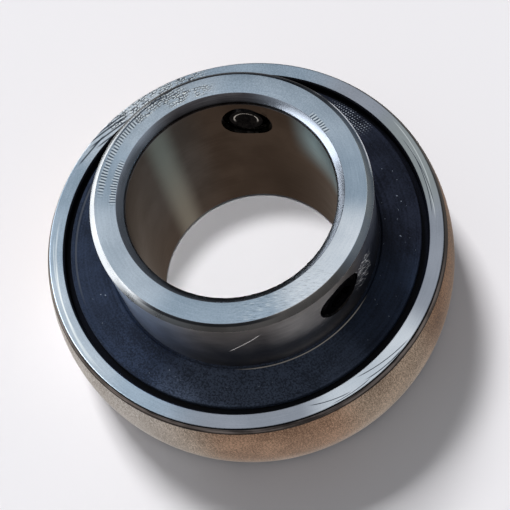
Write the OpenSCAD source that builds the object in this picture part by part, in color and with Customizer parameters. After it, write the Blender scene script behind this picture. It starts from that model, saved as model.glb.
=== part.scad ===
// Insert bearing with a spherical outside and a set screw inner ring.
// The bore runs along Z. The origin is the centre of the ball row, which is
// also the centre of the spherical outside. The long end of the inner ring,
// with its two set screws, points up. Sizes are in millimetres.

/* [Outer ring] */
// Diameter of the spherical outside
outer_d = 52; // [51:0.5:56]
// Width of the outer ring over its side faces
outer_w = 15; // [14.5:0.25:18]
// Radial depth of the corner chamfer between side face and sphere
corner_in = 0.5; // [0.2:0.05:0.8]
// Height of the corner chamfer, along the axis
corner_h = 1; // [0.5:0.1:1.4]
// Radial step from the outer ring's shoulder out to the recess in each side face
mouth_deep = 0.8; // [0.4:0.1:1.2]
// Edge break at the mouth of the recess
mouth_edge = 0.2; // [0.1:0.05:0.3]
// Depth of the ball track below the outer ring's shoulders
shoulder_deep = 1.5; // [1.2:0.1:1.8]
// Depth of the groove that holds a seal, beyond the recess
groove_deep = 0.55; // [0.4:0.05:0.7]
// Diameter of the grease hole
grease_d = 1.5; // [1:0.1:1.6]
// Direction of the grease hole round the axis, in degrees
grease_angle = 200; // [170:5:300]

/* [Inner ring] */
// Diameter of the bore
bore_d = 25; // [24:0.25:25.5]
// Depth of the ball track below the outside of the inner ring
inner_deep = 1.25; // [1:0.05:1.5]
// Length from the ball row to the end with the set screws
long_len = 19.5; // [18:0.5:24]
// Length from the ball row to the short end
short_len = 7.5; // [7.3:0.1:9]
// Radial depth of the bore's chamfers
bore_edge_in = 0.95; // [0.4:0.05:1.1]
// Height of the bore's chamfer at the long end
bore_edge_h = 1.2; // [0.5:0.1:1.5]
// Height of the bore's chamfer at the short end
foot_edge_h = 0.6; // [0.3:0.1:1]
// Chamfer on the outside of the long end
nose_edge = 0.75; // [0.3:0.05:1]
// Chamfer on the outside of the short end
foot_edge = 0.45; // [0.2:0.05:0.5]

/* [Balls and cage] */
// Number of balls in the row
balls = 9; // [9:1:9]
// Distance of the ball row outside the middle between bore and sphere
pitch_out = 0.25; // [-0.25:0.05:0.5]
// Diameter of a ball
ball_d = 7.94; // [7.7:0.02:8.1]
// Radius of a ball track, as a share of the ball's diameter
track_share = 0.52; // [0.515:0.005:0.53]
// Clearance between a ball and a track
track_gap = 0.03; // [0.01:0.01:0.06]
// Thickness of the cage's sheet
cage_t = 0.6; // [0.4:0.05:0.7]
// Width of the cage's band, across the ball row
cage_w = 3.7; // [3:0.1:4]
// Clearance between a ball and its pocket
pocket_gap = 0.08; // [0.04:0.01:0.12]
// Diameter of a cage rivet's shank
rivet_d = 1.4; // [1:0.1:1.6]
// Diameter of a cage rivet's head
rivet_head_d = 2.4; // [2:0.1:2.8]
// Height of a cage rivet's head
rivet_head_h = 0.5; // [0.3:0.05:0.7]
// Clearance round a rivet's shank
rivet_gap = 0.02; // [0.01:0.01:0.04]

/* [Seals] */
// Clearance along the axis between cage and seal
seal_gap = 0.35; // [0.1:0.05:0.4]
// Thickness of a seal
seal_t = 0.95; // [0.8:0.05:1]
// Thickness of the steel shell in a seal
shell_t = 0.35; // [0.25:0.05:0.45]
// Width of the rubber bead outside the shell
bead_w = 1; // [0.7:0.05:1.2]
// Length of a seal's lips, from the rubber's body to the tips
lip_len = 0.9; // [0.6:0.05:1.2]
// Width of a lip's tip
lip_tip = 0.12; // [0.08:0.02:0.16]
// Width of a lip at its root
lip_root = 0.32; // [0.25:0.01:0.34]
// Clearance between a lip and the inner ring
lip_gap = 0.06; // [0.03:0.01:0.1]
// Width of the rubber between the lips' roots and the shell
heel_w = 0.5; // [0.3:0.05:0.7]
// Thickness of the rubber over the shell's turned edge
edge_cover = 0.15; // [0.1:0.05:0.25]
// Clearance between a seal's bead and its groove
bead_gap = 0.02; // [0.01:0.01:0.05]

/* [Flingers] */
// Clearance along the axis between seal and flinger
flinger_lift = 0.3; // [0.15:0.05:0.35]
// Radial gap between flinger and recess
flinger_gap = 0.8; // [0.4:0.05:1.2]
// Thickness of a flinger's steel plate
plate_t = 0.4; // [0.3:0.05:0.45]
// Thickness of the rubber on a flinger
cover_t = 0.4; // [0.3:0.05:0.45]
// Bevel along the inner edge of a flinger's rubber
cover_edge = 0.35; // [0.2:0.05:0.35]
// Rise of a flinger from the inner ring to its rim
dish = 0.1; // [0.05:0.01:0.15]
// Width of the rubber outside the plate
rim_w = 0.45; // [0.3:0.05:0.6]
// Width of the raised bead along a flinger's rim
rim_bead_w = 0.6; // [0.4:0.05:0.9]
// Height of the raised bead along a flinger's rim
rim_bead_h = 0.1; // [0.05:0.01:0.15]
// Clearance between a flinger and the inner ring that it is pressed on
press_gap = 0.01; // [0.01:0.01:0.02]

/* [Set screws] */
// Distance from the long end to the middle of a set screw
screw_set = 5.4; // [5:0.1:6.5]
// Angle between the two set screws
screw_spread = 127; // [90:1:135]
// Nominal diameter of the thread
screw_d = 6; // [5:0.25:6.5]
// Clearance between a set screw and its hole, where the threads are left plain
thread_gap = 0.05; // [0.02:0.01:0.08]
// Length of a set screw
screw_len = 4; // [3.6:0.1:5]
// Distance that a set screw's tip stays back from the bore
tip_back = 0.2; // [0.1:0.05:0.5]
// Depth of the countersink at a hole's outer mouth
sink_h = 0.2; // [0.1:0.05:0.8]
// Width across the flats of the hexagon socket
socket_w = 3; // [2.5:0.1:3.2]
// Depth of the hexagon socket
socket_h = 2; // [1.5:0.1:2.2]
// Diameter of the cup at a set screw's tip
cup_d = 3; // [2.4:0.1:3.4]
// Depth of the cup at a set screw's tip
cup_h = 0.7; // [0.4:0.1:0.9]
// Height of the taper at a set screw's tip
point_h = 0.9; // [0.6:0.1:1.2]
// Edge break at a set screw's socket end
head_edge = 0.35; // [0.2:0.05:0.5]

/* [Hidden] */
$fn = 96;

// Radii and half sizes. The ball row lies near the middle between bore and sphere,
// and both tracks, the shoulders and the recess follow it.
outer_r = outer_d / 2;
half_w = outer_w / 2;
bore_r = bore_d / 2;
ball_r = ball_d / 2;
pitch_r = (outer_r + bore_r) / 2 + pitch_out;
outer_track = pitch_r + ball_r + track_gap;
shoulder_r = outer_track - shoulder_deep;
mouth_r = shoulder_r + mouth_deep;
inner_track = pitch_r - ball_r - track_gap;
inner_r = inner_track + inner_deep;
track_r = track_share * ball_d;
pocket_r = ball_r + pocket_gap;

// Corner of the outer ring: where the chamfer meets the sphere and the face
corner_z = half_w - corner_h;
corner_r = sqrt(outer_r * outer_r - corner_z * corner_z);
face_r = corner_r - corner_in;

// Heights above the ball row, from the cage out to the flinger
cage_top = pocket_r + cage_t;
seal_z = cage_top + seal_gap;
seal_top = seal_z + seal_t;
plate_z = seal_top + flinger_lift;
groove_r = mouth_r + groove_deep;

// Half width of the outer ball track at the shoulders. The grease hole opens
// midway between its edge and the seal.
track_half = sqrt(pow(track_r, 2) - pow(track_r - shoulder_deep, 2));
grease_z = (track_half + seal_z) / 2;

// Seal section
bead_r = groove_r - bead_gap;
shell_out = bead_r - bead_w;
lip_r = inner_r + lip_gap;
rubber_in = lip_r + lip_len;
shell_in = rubber_in + heel_w;
shell_top = seal_top - edge_cover;

// Flinger section
hub_r = inner_r + press_gap;
rim_r = mouth_r - flinger_gap;
plate_r = rim_r - rim_w;

// Set screws: direction, height and hole
screw_z = long_len - screw_set;
screw_r = screw_d / 2 - thread_gap;
tip_x = bore_r + tip_back;

// How far a cutting shape runs past what it cuts, and how far joined shapes overlap
cut = 1;
lap = 0.1;

// A tube round the Z axis, from z0 up to z1
module tube(r_in, r_out, z0, z1) {
  rotate_extrude()
    translate([r_in, z0])
      square([r_out - r_in, z1 - z0]);
}

// What follows, turned to the place of ball k
module at_ball(k) {
  rotate([0, 0, 360 / balls * (k - 0.5)])
    translate([pitch_r, 0, 0])
      children();
}

// What follows, turned to the gap after ball k, where a rivet sits
module at_rivet(k) {
  rotate([0, 0, 360 / balls * k])
    translate([pitch_r, 0, 0])
      children();
}

// What follows, drawn along +Z, turned outwards along the axis of a set screw
module at_screw(turn) {
  rotate([0, 0, turn])
    translate([0, 0, screw_z])
      rotate([0, 90, 0])
        children();
}

// Section of one half of the outer ring, above the ball row
module outer_half() {
  difference() {
    intersection() {
      circle(r = outer_r, $fn = 180);
      polygon([
        [shoulder_r, 0], [outer_r + cut, 0], [outer_r + cut, corner_z],
        [corner_r, corner_z], [face_r, half_w],
        [mouth_r + mouth_edge, half_w], [mouth_r, half_w - mouth_edge],
        [mouth_r, seal_top], [groove_r, seal_top], [groove_r, seal_z],
        [shoulder_r, seal_z]
      ]);
    }
    translate([outer_track - track_r, 0])
      circle(r = track_r);
  }
}

module outer_ring() {
  color("lightsteelblue")
    difference() {
      rotate_extrude($fn = 180)
        union() {
          outer_half();
          mirror([0, 1])
            outer_half();
        }
      rotate([0, 0, grease_angle])
        translate([shoulder_r - cut, 0, -grease_z])
          rotate([0, 90, 0])
            cylinder(d = grease_d, h = outer_r, $fn = 24);
    }
}

// Hole for a set screw: plain bore at the thread's nominal size, with a countersink
module screw_hole() {
  translate([0, 0, bore_r - cut])
    cylinder(d = screw_d, h = inner_r - bore_r + 2 * cut, $fn = 48);
  translate([0, 0, inner_r - sink_h])
    cylinder(d1 = screw_d, d2 = screw_d + 2 * (sink_h + cut), h = sink_h + cut, $fn = 48);
}

module inner_ring() {
  color("lightsteelblue")
    difference() {
      rotate_extrude($fn = 144)
        difference() {
          polygon([
            [bore_r, -short_len + foot_edge_h], [bore_r + bore_edge_in, -short_len],
            [inner_r - foot_edge, -short_len], [inner_r, -short_len + foot_edge],
            [inner_r, long_len - nose_edge], [inner_r - nose_edge, long_len],
            [bore_r + bore_edge_in, long_len], [bore_r, long_len - bore_edge_h]
          ]);
          translate([inner_track + track_r, 0])
            circle(r = track_r);
        }
      at_screw(0)
        screw_hole();
      at_screw(screw_spread)
        screw_hole();
    }
}

// Section of a seal's steel shell: a flat washer with its outer edge turned up
module shell_section() {
  polygon([
    [shell_in, seal_z], [shell_out, seal_z], [shell_out, shell_top],
    [shell_out - shell_t, shell_top],
    [shell_out - shell_t, seal_z + shell_t], [shell_in, seal_z + shell_t]
  ]);
}

// Section of one lip, a taper that points at the inner ring at height z
module lip_section(z) {
  polygon([
    [lip_r, z - lip_tip / 2], [rubber_in + lap, z - lip_root / 2],
    [rubber_in + lap, z + lip_root / 2], [lip_r, z + lip_tip / 2]
  ]);
}

// Section of a seal's rubber: bead, body and two lips, moulded over the shell
module rubber_section() {
  difference() {
    union() {
      translate([rubber_in, seal_z])
        square([bead_r - rubber_in, seal_t]);
      lip_section(seal_z + seal_t / 4);
      lip_section(seal_z + seal_t * 3 / 4);
    }
    shell_section();
  }
}

module seal_shell() {
  color("silver")
    rotate_extrude()
      shell_section();
}

module seal_rubber() {
  color([0.09, 0.09, 0.1])
    rotate_extrude()
      rubber_section();
}

module seal_shell_upper() {
  seal_shell();
}

module seal_shell_lower() {
  mirror([0, 0, 1])
    seal_shell();
}

module seal_rubber_upper() {
  seal_rubber();
}

module seal_rubber_lower() {
  mirror([0, 0, 1])
    seal_rubber();
}

// Section of a flinger's steel plate, a shallow cone
module plate_section() {
  polygon([
    [hub_r, plate_z], [plate_r, plate_z + dish],
    [plate_r, plate_z + dish + plate_t], [hub_r, plate_z + plate_t]
  ]);
}

// Section of the rubber on a flinger: a cover with a raised bead along its rim
module cover_section() {
  top = plate_z + plate_t + cover_t;
  difference() {
    polygon([
      [hub_r, plate_z + plate_t / 2], [plate_r, plate_z + dish + plate_t / 2],
      [plate_r, plate_z + dish], [rim_r, plate_z + dish],
      [rim_r, top + dish], [rim_r - rim_bead_h, top + dish + rim_bead_h],
      [rim_r - rim_bead_w, top + dish + rim_bead_h],
      [rim_r - rim_bead_w - rim_bead_h, top + dish],
      [hub_r + cover_edge, top], [hub_r, top - cover_edge]
    ]);
    plate_section();
  }
}

module flinger_plate() {
  color("silver")
    rotate_extrude()
      plate_section();
}

module flinger_rubber() {
  color([0.08, 0.08, 0.1])
    rotate_extrude()
      cover_section();
}

module flinger_plate_upper() {
  flinger_plate();
}

module flinger_plate_lower() {
  mirror([0, 0, 1])
    flinger_plate();
}

module flinger_rubber_upper() {
  flinger_rubber();
}

module flinger_rubber_lower() {
  mirror([0, 0, 1])
    flinger_rubber();
}

// One half of the pressed cage: flats between the balls, and half pockets over them
module cage_half() {
  band_in = pitch_r - cage_w / 2;
  band_out = pitch_r + cage_w / 2;
  color("tan")
    difference() {
      union() {
        tube(band_in, band_out, 0, cage_t);
        intersection() {
          tube(band_in, band_out, 0, cage_top + cut);
          for (k = [1:balls])
            at_ball(k)
              sphere(r = pocket_r + cage_t, $fn = 64);
        }
      }
      for (k = [1:balls])
        at_ball(k)
          sphere(r = pocket_r, $fn = 64);
      for (k = [1:balls])
        at_rivet(k)
          cylinder(d = rivet_d + 2 * rivet_gap, h = 2 * cage_t + cut, center = true, $fn = 24);
    }
}

module cage_upper() {
  cage_half();
}

module cage_lower() {
  mirror([0, 0, 1])
    cage_half();
}

// One rivet: a shank through both halves of the cage, with a domed head at each end
module rivet() {
  dome_r = (pow(rivet_head_d / 2, 2) + pow(rivet_head_h, 2)) / (2 * rivet_head_h);
  cylinder(d = rivet_d, h = 2 * (cage_t + lap), center = true, $fn = 24);
  for (side = [0, 1])
    mirror([0, 0, side])
      translate([0, 0, cage_t])
        intersection() {
          translate([0, 0, rivet_head_h - dome_r])
            sphere(r = dome_r, $fn = 32);
          cylinder(d = rivet_head_d, h = rivet_head_h, $fn = 32);
        }
}

module cage_rivets() {
  color("gray")
    for (k = [1:balls])
      at_rivet(k)
        rivet();
}

module ball(k) {
  color("gainsboro")
    at_ball(k)
      sphere(r = ball_r, $fn = 64);
}

// Set screw along +Z from its cupped tip to its hexagon socket
module set_screw(turn) {
  color([0.12, 0.12, 0.13])
    at_screw(turn)
      translate([0, 0, tip_x])
        difference() {
          rotate_extrude($fn = 48)
            polygon([
              [0, cup_h], [cup_d / 2, 0], [screw_r - point_h, 0], [screw_r, point_h],
              [screw_r, screw_len - head_edge], [screw_r - head_edge, screw_len],
              [0, screw_len]
            ]);
          translate([0, 0, screw_len - socket_h])
            cylinder(d = socket_w / cos(30), h = socket_h + cut, $fn = 6);
        }
}

module set_screw_a() {
  set_screw(0);
}

module set_screw_b() {
  set_screw(screw_spread);
}

outer_ring();
inner_ring();
seal_shell_upper();
seal_shell_lower();
seal_rubber_upper();
seal_rubber_lower();
flinger_plate_upper();
flinger_plate_lower();
flinger_rubber_upper();
flinger_rubber_lower();
cage_upper();
cage_lower();
cage_rivets();
ball(1);  // ball_1
ball(2);  // ball_2
ball(3);  // ball_3
ball(4);  // ball_4
ball(5);  // ball_5
ball(6);  // ball_6
ball(7);  // ball_7
ball(8);  // ball_8
ball(9);  // ball_9
set_screw_a();
set_screw_b();
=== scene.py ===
# Insert bearing: the looks of its rings, flingers, set screws and inner pieces, on a pale floor.
import math

import bpy
from mathutils import Matrix, Vector


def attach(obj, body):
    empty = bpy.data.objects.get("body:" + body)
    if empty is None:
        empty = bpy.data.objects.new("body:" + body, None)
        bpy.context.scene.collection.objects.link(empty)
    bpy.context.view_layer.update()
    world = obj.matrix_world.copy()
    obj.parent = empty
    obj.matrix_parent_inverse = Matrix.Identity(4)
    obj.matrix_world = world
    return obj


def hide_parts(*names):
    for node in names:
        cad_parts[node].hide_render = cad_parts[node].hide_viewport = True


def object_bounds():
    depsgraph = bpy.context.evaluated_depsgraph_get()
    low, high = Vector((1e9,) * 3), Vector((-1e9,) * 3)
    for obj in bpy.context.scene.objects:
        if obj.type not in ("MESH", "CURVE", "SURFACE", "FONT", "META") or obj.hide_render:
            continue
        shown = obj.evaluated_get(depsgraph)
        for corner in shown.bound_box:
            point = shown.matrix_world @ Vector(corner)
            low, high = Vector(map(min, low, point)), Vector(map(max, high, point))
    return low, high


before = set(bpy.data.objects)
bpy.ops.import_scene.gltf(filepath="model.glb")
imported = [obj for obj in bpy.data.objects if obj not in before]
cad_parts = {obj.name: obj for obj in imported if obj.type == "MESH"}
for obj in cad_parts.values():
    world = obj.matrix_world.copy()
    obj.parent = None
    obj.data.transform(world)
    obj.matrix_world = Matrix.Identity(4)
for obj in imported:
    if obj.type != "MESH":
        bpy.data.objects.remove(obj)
CAD_LOW, CAD_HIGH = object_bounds()
MM = 0.001

# Sizes in millimetres, as the solids have them where nothing else is said: the outer ring
OUTER_R = 26.0
HALF_W = 7.5
CORNER_IN = 0.5
CORNER_H = 1.0
SHOULDER_R = 22.0
OUTER_TRACK = 23.5
TRACK_R = 4.1288
MOUTH_R = 22.8
MOUTH_EDGE = 0.2
GROOVE_R = 23.35
SEAL_Z = 5.0
SEAL_TOP = 5.95
GREASE_R = 0.75
GREASE_Z = -4.1
GREASE_TURN = 200.0

# The inner ring, and a knee in the chamfer at its bore's mouth that the solids do without
BORE_R = 12.5
INNER_R = 16.75
INNER_TRACK = 15.5
LONG_LEN = 19.5
SHORT_LEN = 7.5
BORE_EDGE_IN = 0.95
BORE_EDGE_H = 1.2
FOOT_EDGE_H = 0.6
NOSE_EDGE = 0.75
FOOT_EDGE = 0.45
KNEE_IN = 0.1
KNEE_H = 0.72

# The flingers, and the lip and the groove of the rubber at the hub, which the solids do without
HUB_R = 16.76
RIM_R = 22.0
PLATE_R = 21.55
PLATE_Z = 6.25
PLATE_T = 0.4
COVER_TOP = 7.05
DISH = 0.1
LIP_IN = 0.45
LIP_DEEP = 0.33
LIP_FLOOR = 0.27
RIM_BEAD_W = 0.6
RIM_BEAD_H = 0.1
BEAD_SLOPE = 0.15
BEAD_EDGE = 0.1

# The set screws and their holes, and the threads, which the solids do without
SCREW_TURNS = {"a": 0.0, "b": 127.0}
SCREW_Z = 14.1
SCREW_R = 2.95
SCREW_TIP = 12.7
SCREW_LEN = 4.0
HOLE_R = 3.0
SINK_H = 0.2
PITCH = 0.75
THREAD_DEEP = 0.32
CREST_SHARE = 0.12
SOCKET_SIDES = 6
SOCKET_R = 1.5 / math.cos(math.radians(30))
SOCKET_H = 2.0
DRILL_SHARE = 0.8
DRILL_H = 0.5
CUP_R = 1.5
CUP_H = 0.7
CUP_PAST = 0.1
POINT_H = 0.9
HEAD_EDGE = 0.35

# Roundings of edges
CORNER_ROUND = 0.12
EDGE_ROUND = 0.06
KNEE_ROUND = 0.15
LIP_ROUND = 0.08

# Small distances: the same corner, doubles in a turned mesh and in a thread, how far a cutting tool
# goes past the metal, and how it overlaps another tool's cut
SAME = 0.01
DOUBLES = 0.002
THREAD_DOUBLES = 0.001
PAST = 1.0
OVERLAP = 0.01

# Steps round a ring, a screw and a small hole, and along the arcs of a section
RING_STEPS = 288
SCREW_STEPS = 48
HOLE_STEPS = 24
TRACK_STEPS = 16
SPHERE_STEPS = 28

# How a face is told by its place and slope: distances in millimetres, and least parts of its normal
TOUCH = 0.02
BESIDE = 0.05
NEAR = 0.1
SKIN = 0.2
WALL_LOW = 6.0
UPRIGHT = 0.9
LEVEL = 0.97
NEARLY_LEVEL = 0.75
LEANING = 0.5

# Two radii between the rings, where neither has a face
BETWEEN = (19.0, 20.0)

# Painted highlights on the end face and on the side face: their direction in degrees, the cosines of
# the angle from it where they begin and where they are full, and their strength
PAINTED_END_HIGHLIGHTS = (
    (4, 0.82, 0.96, 1.0),
    (-108, 0.80, 0.98, 0.35),
    (165, 0.80, 0.98, 0.35),
    (95, 0.75, 0.98, 0.18),
)
PAINTED_SIDE_HIGHLIGHTS = (
    (-7, 0.91, 0.985, 1.0),
    (-108, 0.91, 0.985, 0.42),
    (174, 0.92, 0.985, 0.65),
)

# Scratches on the faces: centre, radius, first and last direction in degrees, and width
FACE_SCRATCHES = (
    ((10.24, -1.85), 14.0, -42.0, -19.0, 0.07),
    ((8.59, 0.62), 16.0, -19.0, 3.0, 0.08),
    ((6.17, -2.07), 18.0, -24.0, -5.0, 0.06),
    ((4.37, 2.94), 20.0, -24.0, 0.0, 0.07),
    ((34.74, -7.17), 60.0, 170.6, 175.0, 0.15),
    ((34.8, -9.4), 60.0, 167.5, 173.6, 0.14),
    ((34.9, -11.0), 60.0, 166.0, 173.4, 0.16),
    ((35.55, -10.84), 60.0, 166.3, 173.4, 0.15),
    ((36.2, -10.6), 60.0, 166.6, 173.0, 0.13),
    ((75.98, 4.97), 100.0, 183.4, 186.6, 0.14),
    ((0.5, -0.5), 23.9, 50.0, 76.0, 0.06),
    ((-0.6, 0.2), 23.7, 44.0, 66.0, 0.06),
    ((0.0, 0.0), 15.82, 160.0, 198.0, 0.1),
)

# Pale arcs on the side face, in the same form
PALE_ARCS = (
    ((0.6, 0.4), 24.55, -148.0, -92.0, 0.12),
    ((-0.5, 0.3), 24.0, -140.0, -104.0, 0.1),
    ((0.9, -0.2), 24.2, -136.0, -96.0, 0.12),
    ((0.3, 0.9), 23.3, -150.0, -116.0, 0.1),
    ((0.4, 0.1), 23.4, 44.0, 74.0, 0.08),
    ((-0.5, 0.4), 23.9, 52.0, 80.0, 0.08),
)

# Painted highlight lines along the flingers' bead and lip, in the same form
BEAD_HIGHLIGHT = ((0, 0), RIM_R - RIM_BEAD_W - 0.05, -188, -112, 0.14)
LIP_HIGHLIGHT = ((0, 0), HUB_R + LIP_IN + 0.05, -52, 14, 0.1)

# The share of a scratch's length over which it is at its full strength
SCRATCH_FULL = 0.6

# Ticks across the edges of a face: radius, and in degrees first and last direction and step
TICKS = (
    (15.35, 176.0, 222.0, 1.45),
    (13.8, 199.0, 226.0, 1.4),
    (13.75, 74.0, 89.0, 1.6),
)
TICK_HALF = 0.25

# Patches of chatter on the faces: lowest and highest radius, and first and last direction in degrees
CHATTER = (
    (14.9, 16.1, 158.0, 178.0),
    (13.9, 15.0, 146.0, 160.0),
    (23.4, 25.3, 150.0, 176.0),
)

# What is the same all over a paint: bare metal, metal with its glancing gloss held back, a dull black
# that stands in for shade, rubber, and the floor's dull coat, which glows where metal mirrors it
STEEL = {"Metallic": 1.0}
SATIN_STEEL = {"Metallic": 1.0, "Specular Tint": (0.8, 0.8, 0.8, 1.0)}
BROWN_STEEL = {"Metallic": 1.0, "Specular Tint": (0.73, 0.66, 0.61, 1.0)}
BLACK_STEEL = {"Metallic": 1.0, "Specular Tint": (0.5, 0.5, 0.5, 1.0)}
PAINTED_SHADE_BLACK = {"Metallic": 0.0, "Specular IOR Level": 0.15}
RUBBER = {"Metallic": 0.0, "Specular IOR Level": 0.12}
DULL = {"Metallic": 0.0, "Specular IOR Level": 0.0, "Roughness": 0.6, "Emission Strength": 1.0}
BLACK = (0.0, 0.0, 0.0)

# The camera: where it looks, from where, how it is tilted, and its lens and sensor
AIM = Vector((0.024, 0.688, 0)) * MM
CAMERA_AZIMUTH = -30.3965
CAMERA_ELEVATION = 65.9302
CAMERA_ROLL = -18.6211
CAMERA_DISTANCE = 174.93 * MM
CAMERA_LENS = 95.485
SENSOR = 36.0

# The key light: angles in degrees, lengths in metres
KEY_AZIMUTH = 160.0
KEY_ELEVATION = 52.0
KEY_DISTANCE = 8.0
KEY_SIZE = 2.0
KEY_WATTS = 600.0

# Two lamps down the bore: elevation and watts, and for both height and size in metres and soft edge
BORE_LAMPS = {"bore_lamp_leaning": (77.5, 0.52), "bore_lamp_upright": (90.0, 0.3)}
BORE_LAMP_HEIGHT = 0.15
BORE_LAMP_SIZE = 0.007
BORE_LAMP_EDGE = 0.1

# Two cards that show in gloss alone: azimuth, elevation, distance, width and height, and watts
CARDS = {
    "low_card": (201.5, 8.9, 0.0709, 0.111, 0.0324, 0.037),
    "high_card": (231.0, 32.4, 0.0829, 0.068, 0.0367, 0.026),
}

# The sky: its tint, its strength on the floor and where it is seen, its low and high strengths in
# metal, and the elevations where the low one ends and the high one starts
SKY_TINT = (0.955, 0.975, 1.0, 1)
SKY_ON_FLOOR = 0.275
SKY_SEEN = 0.93
SKY_LOW = 0.14
SKY_HIGH = 0.85
SKY_LOW_ENDS = 28.0
SKY_HIGH_STARTS = 60.0

# The floor: its size in metres, the painted reflection colours it glows with in metal close by and
# farther off, and the radii, in millimetres, between which they change
FLOOR_SIZE = 3
FLOOR_IN_METAL = (0.46, 0.43, 0.40)
FAR_FLOOR_IN_METAL = (0.055, 0.064, 0.08)
NEAR_FLOOR_R = 48
FAR_FLOOR_R = 72


def direction(azimuth, elevation):
    """A unit vector, from degrees round +Z from +X and degrees above the floor."""
    a = math.radians(azimuth)
    e = math.radians(elevation)
    return Vector((math.cos(e) * math.cos(a), math.cos(e) * math.sin(a), math.sin(e)))


def looking_back(back):
    """The turn of a camera or a lamp that stands in this direction and looks back."""
    return back.to_track_quat("Z", "Y").to_matrix().to_4x4()


def add_camera():
    """The camera, at the photograph's angle."""
    back = direction(CAMERA_AZIMUTH, CAMERA_ELEVATION)
    data = bpy.data.cameras.new("camera")
    data.lens = CAMERA_LENS
    data.sensor_width = SENSOR
    data.clip_start = CAMERA_DISTANCE / 20
    data.clip_end = CAMERA_DISTANCE * 50
    camera = bpy.data.objects.new("camera", data)
    bpy.context.scene.collection.objects.link(camera)
    roll = Matrix.Rotation(math.radians(CAMERA_ROLL), 4, "Z")
    camera.matrix_world = Matrix.Translation(AIM + back * CAMERA_DISTANCE) @ looking_back(back) @ roll
    bpy.context.scene.camera = camera


# Modelling tools

def edit():
    bpy.ops.object.mode_set(mode="EDIT")


def done():
    bpy.ops.object.mode_set(mode="OBJECT")


def select(action):
    bpy.ops.mesh.select_all(action=action)


def deselect():
    if bpy.context.object and bpy.context.object.mode != "OBJECT":
        done()
    bpy.ops.object.select_all(action="DESELECT")


def only(piece):
    deselect()
    piece.select_set(True)
    bpy.context.view_layer.objects.active = piece


def settle(piece):
    """Puts the piece's place, turn and scale into its mesh."""
    only(piece)
    bpy.ops.object.transform_apply(location=True, rotation=True, scale=True)


def move(piece, matrix):
    """Moves a settled piece, and settles it again."""
    piece.matrix_world = matrix
    settle(piece)


def apply(piece, kind, **settings):
    """Adds a modifier with its settings and applies it."""
    only(piece)
    modifier = piece.modifiers.new(kind.lower(), kind)
    for name, value in settings.items():
        setattr(modifier, name, value)
    bpy.ops.object.modifier_apply(modifier=modifier.name)


def cut(piece, tool, operation="DIFFERENCE"):
    """Cuts a piece with a tool, or keeps what lies in it, and throws the tool away."""
    apply(piece, "BOOLEAN", operation=operation, object=tool, solver="EXACT")
    bpy.data.objects.remove(tool)


def copy_of(piece, name):
    """A copy of a piece, with a mesh of its own."""
    made = piece.copy()
    made.data = piece.data.copy()
    made.name = name
    made.data.name = name
    bpy.context.scene.collection.objects.link(made)
    return made


def added(name):
    """The primitive that was just added, settled and named."""
    piece = bpy.context.object
    piece.name = name
    piece.data.name = name
    settle(piece)
    return piece


def bevel_where(piece, wanted, width, segments):
    """Bevels the edges whose ends are both wanted, by their (radius, height) in millimetres."""
    only(piece)
    edit()
    bpy.ops.mesh.select_mode(type="VERT")
    select("DESELECT")
    done()
    for vertex in piece.data.vertices:
        vertex.select = wanted(math.hypot(vertex.co.x, vertex.co.y) / MM, vertex.co.z / MM)
    edit()
    bpy.ops.mesh.select_mode(type="EDGE")
    bpy.ops.mesh.bevel(offset=width * MM, segments=segments, affect="EDGES")
    done()


def round_loops(piece, corners, width, segments=3):
    """Rounds the edge loops that run round a ring at these (radius, height) corners."""
    def wanted(r, z):
        return any(abs(r - cr) < SAME and abs(z - cz) < SAME for cr, cz in corners)

    bevel_where(piece, wanted, width, segments)


def lathe(name, section):
    """A ring turned from a closed section of (radius, height) corners, in millimetres.
    A circle is drawn out and scaled to each corner in turn, and the last meets the first."""
    deselect()
    r, z = section[0]
    bpy.ops.mesh.primitive_circle_add(vertices=RING_STEPS, radius=r * MM, location=(0, 0, z * MM))
    piece = added(name)
    edit()
    select("SELECT")
    for next_r, next_z in [*section[1:], section[0]]:
        rise = (0, 0, (next_z - z) * MM)
        bpy.ops.mesh.extrude_edges_move(TRANSFORM_OT_translate={"value": rise})
        grow = next_r / r
        bpy.ops.transform.resize(value=(grow, grow, 1), center_override=(0, 0, 0))
        r, z = next_r, next_z
    select("SELECT")
    bpy.ops.mesh.remove_doubles(threshold=DOUBLES * MM)
    bpy.ops.mesh.normals_make_consistent(inside=False)
    done()
    return piece


def smooth(piece, angle):
    """Smooth shading up to an angle in degrees, with flat faces kept flat beside rounded edges."""
    only(piece)
    bpy.ops.object.shade_smooth_by_angle(angle=math.radians(angle))
    apply(piece, "WEIGHTED_NORMAL", keep_sharp=True, weight=60)


def arc(centre_r, radius, start, stop, steps):
    """Points (radius, height) along an arc of a section, centred level with the ball row."""
    turns = [math.radians(start + (stop - start) * k / steps) for k in range(steps + 1)]
    return [(centre_r + radius * math.cos(t), radius * math.sin(t)) for t in turns]


def mirrored(half):
    """The same corners below the ball row, in the order that carries a section on."""
    return [(r, -z) for r, z in reversed(half)]


def radial(turn, height):
    """Where a tool that was made along +Z goes, so that it points outwards at this turn."""
    lean = Matrix.Rotation(math.radians(90), 4, "Y")
    up = Matrix.Translation((0, 0, height * MM))
    return Matrix.Rotation(math.radians(turn), 4, "Z") @ up @ lean


def cylinder(name, radius, low, high, steps=SCREW_STEPS):
    """A cylinder along +Z between two heights, in millimetres."""
    deselect()
    bpy.ops.mesh.primitive_cylinder_add(
        vertices=steps, radius=radius * MM, depth=(high - low) * MM,
        location=(0, 0, (low + high) / 2 * MM),
    )
    return added(name)


def cone(name, low_r, high_r, low, high):
    """A cone along +Z between two heights, in millimetres."""
    deselect()
    bpy.ops.mesh.primitive_cone_add(
        vertices=SCREW_STEPS, radius1=low_r * MM, radius2=high_r * MM, depth=(high - low) * MM,
        location=(0, 0, (low + high) / 2 * MM),
    )
    return added(name)


# The pieces

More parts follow.
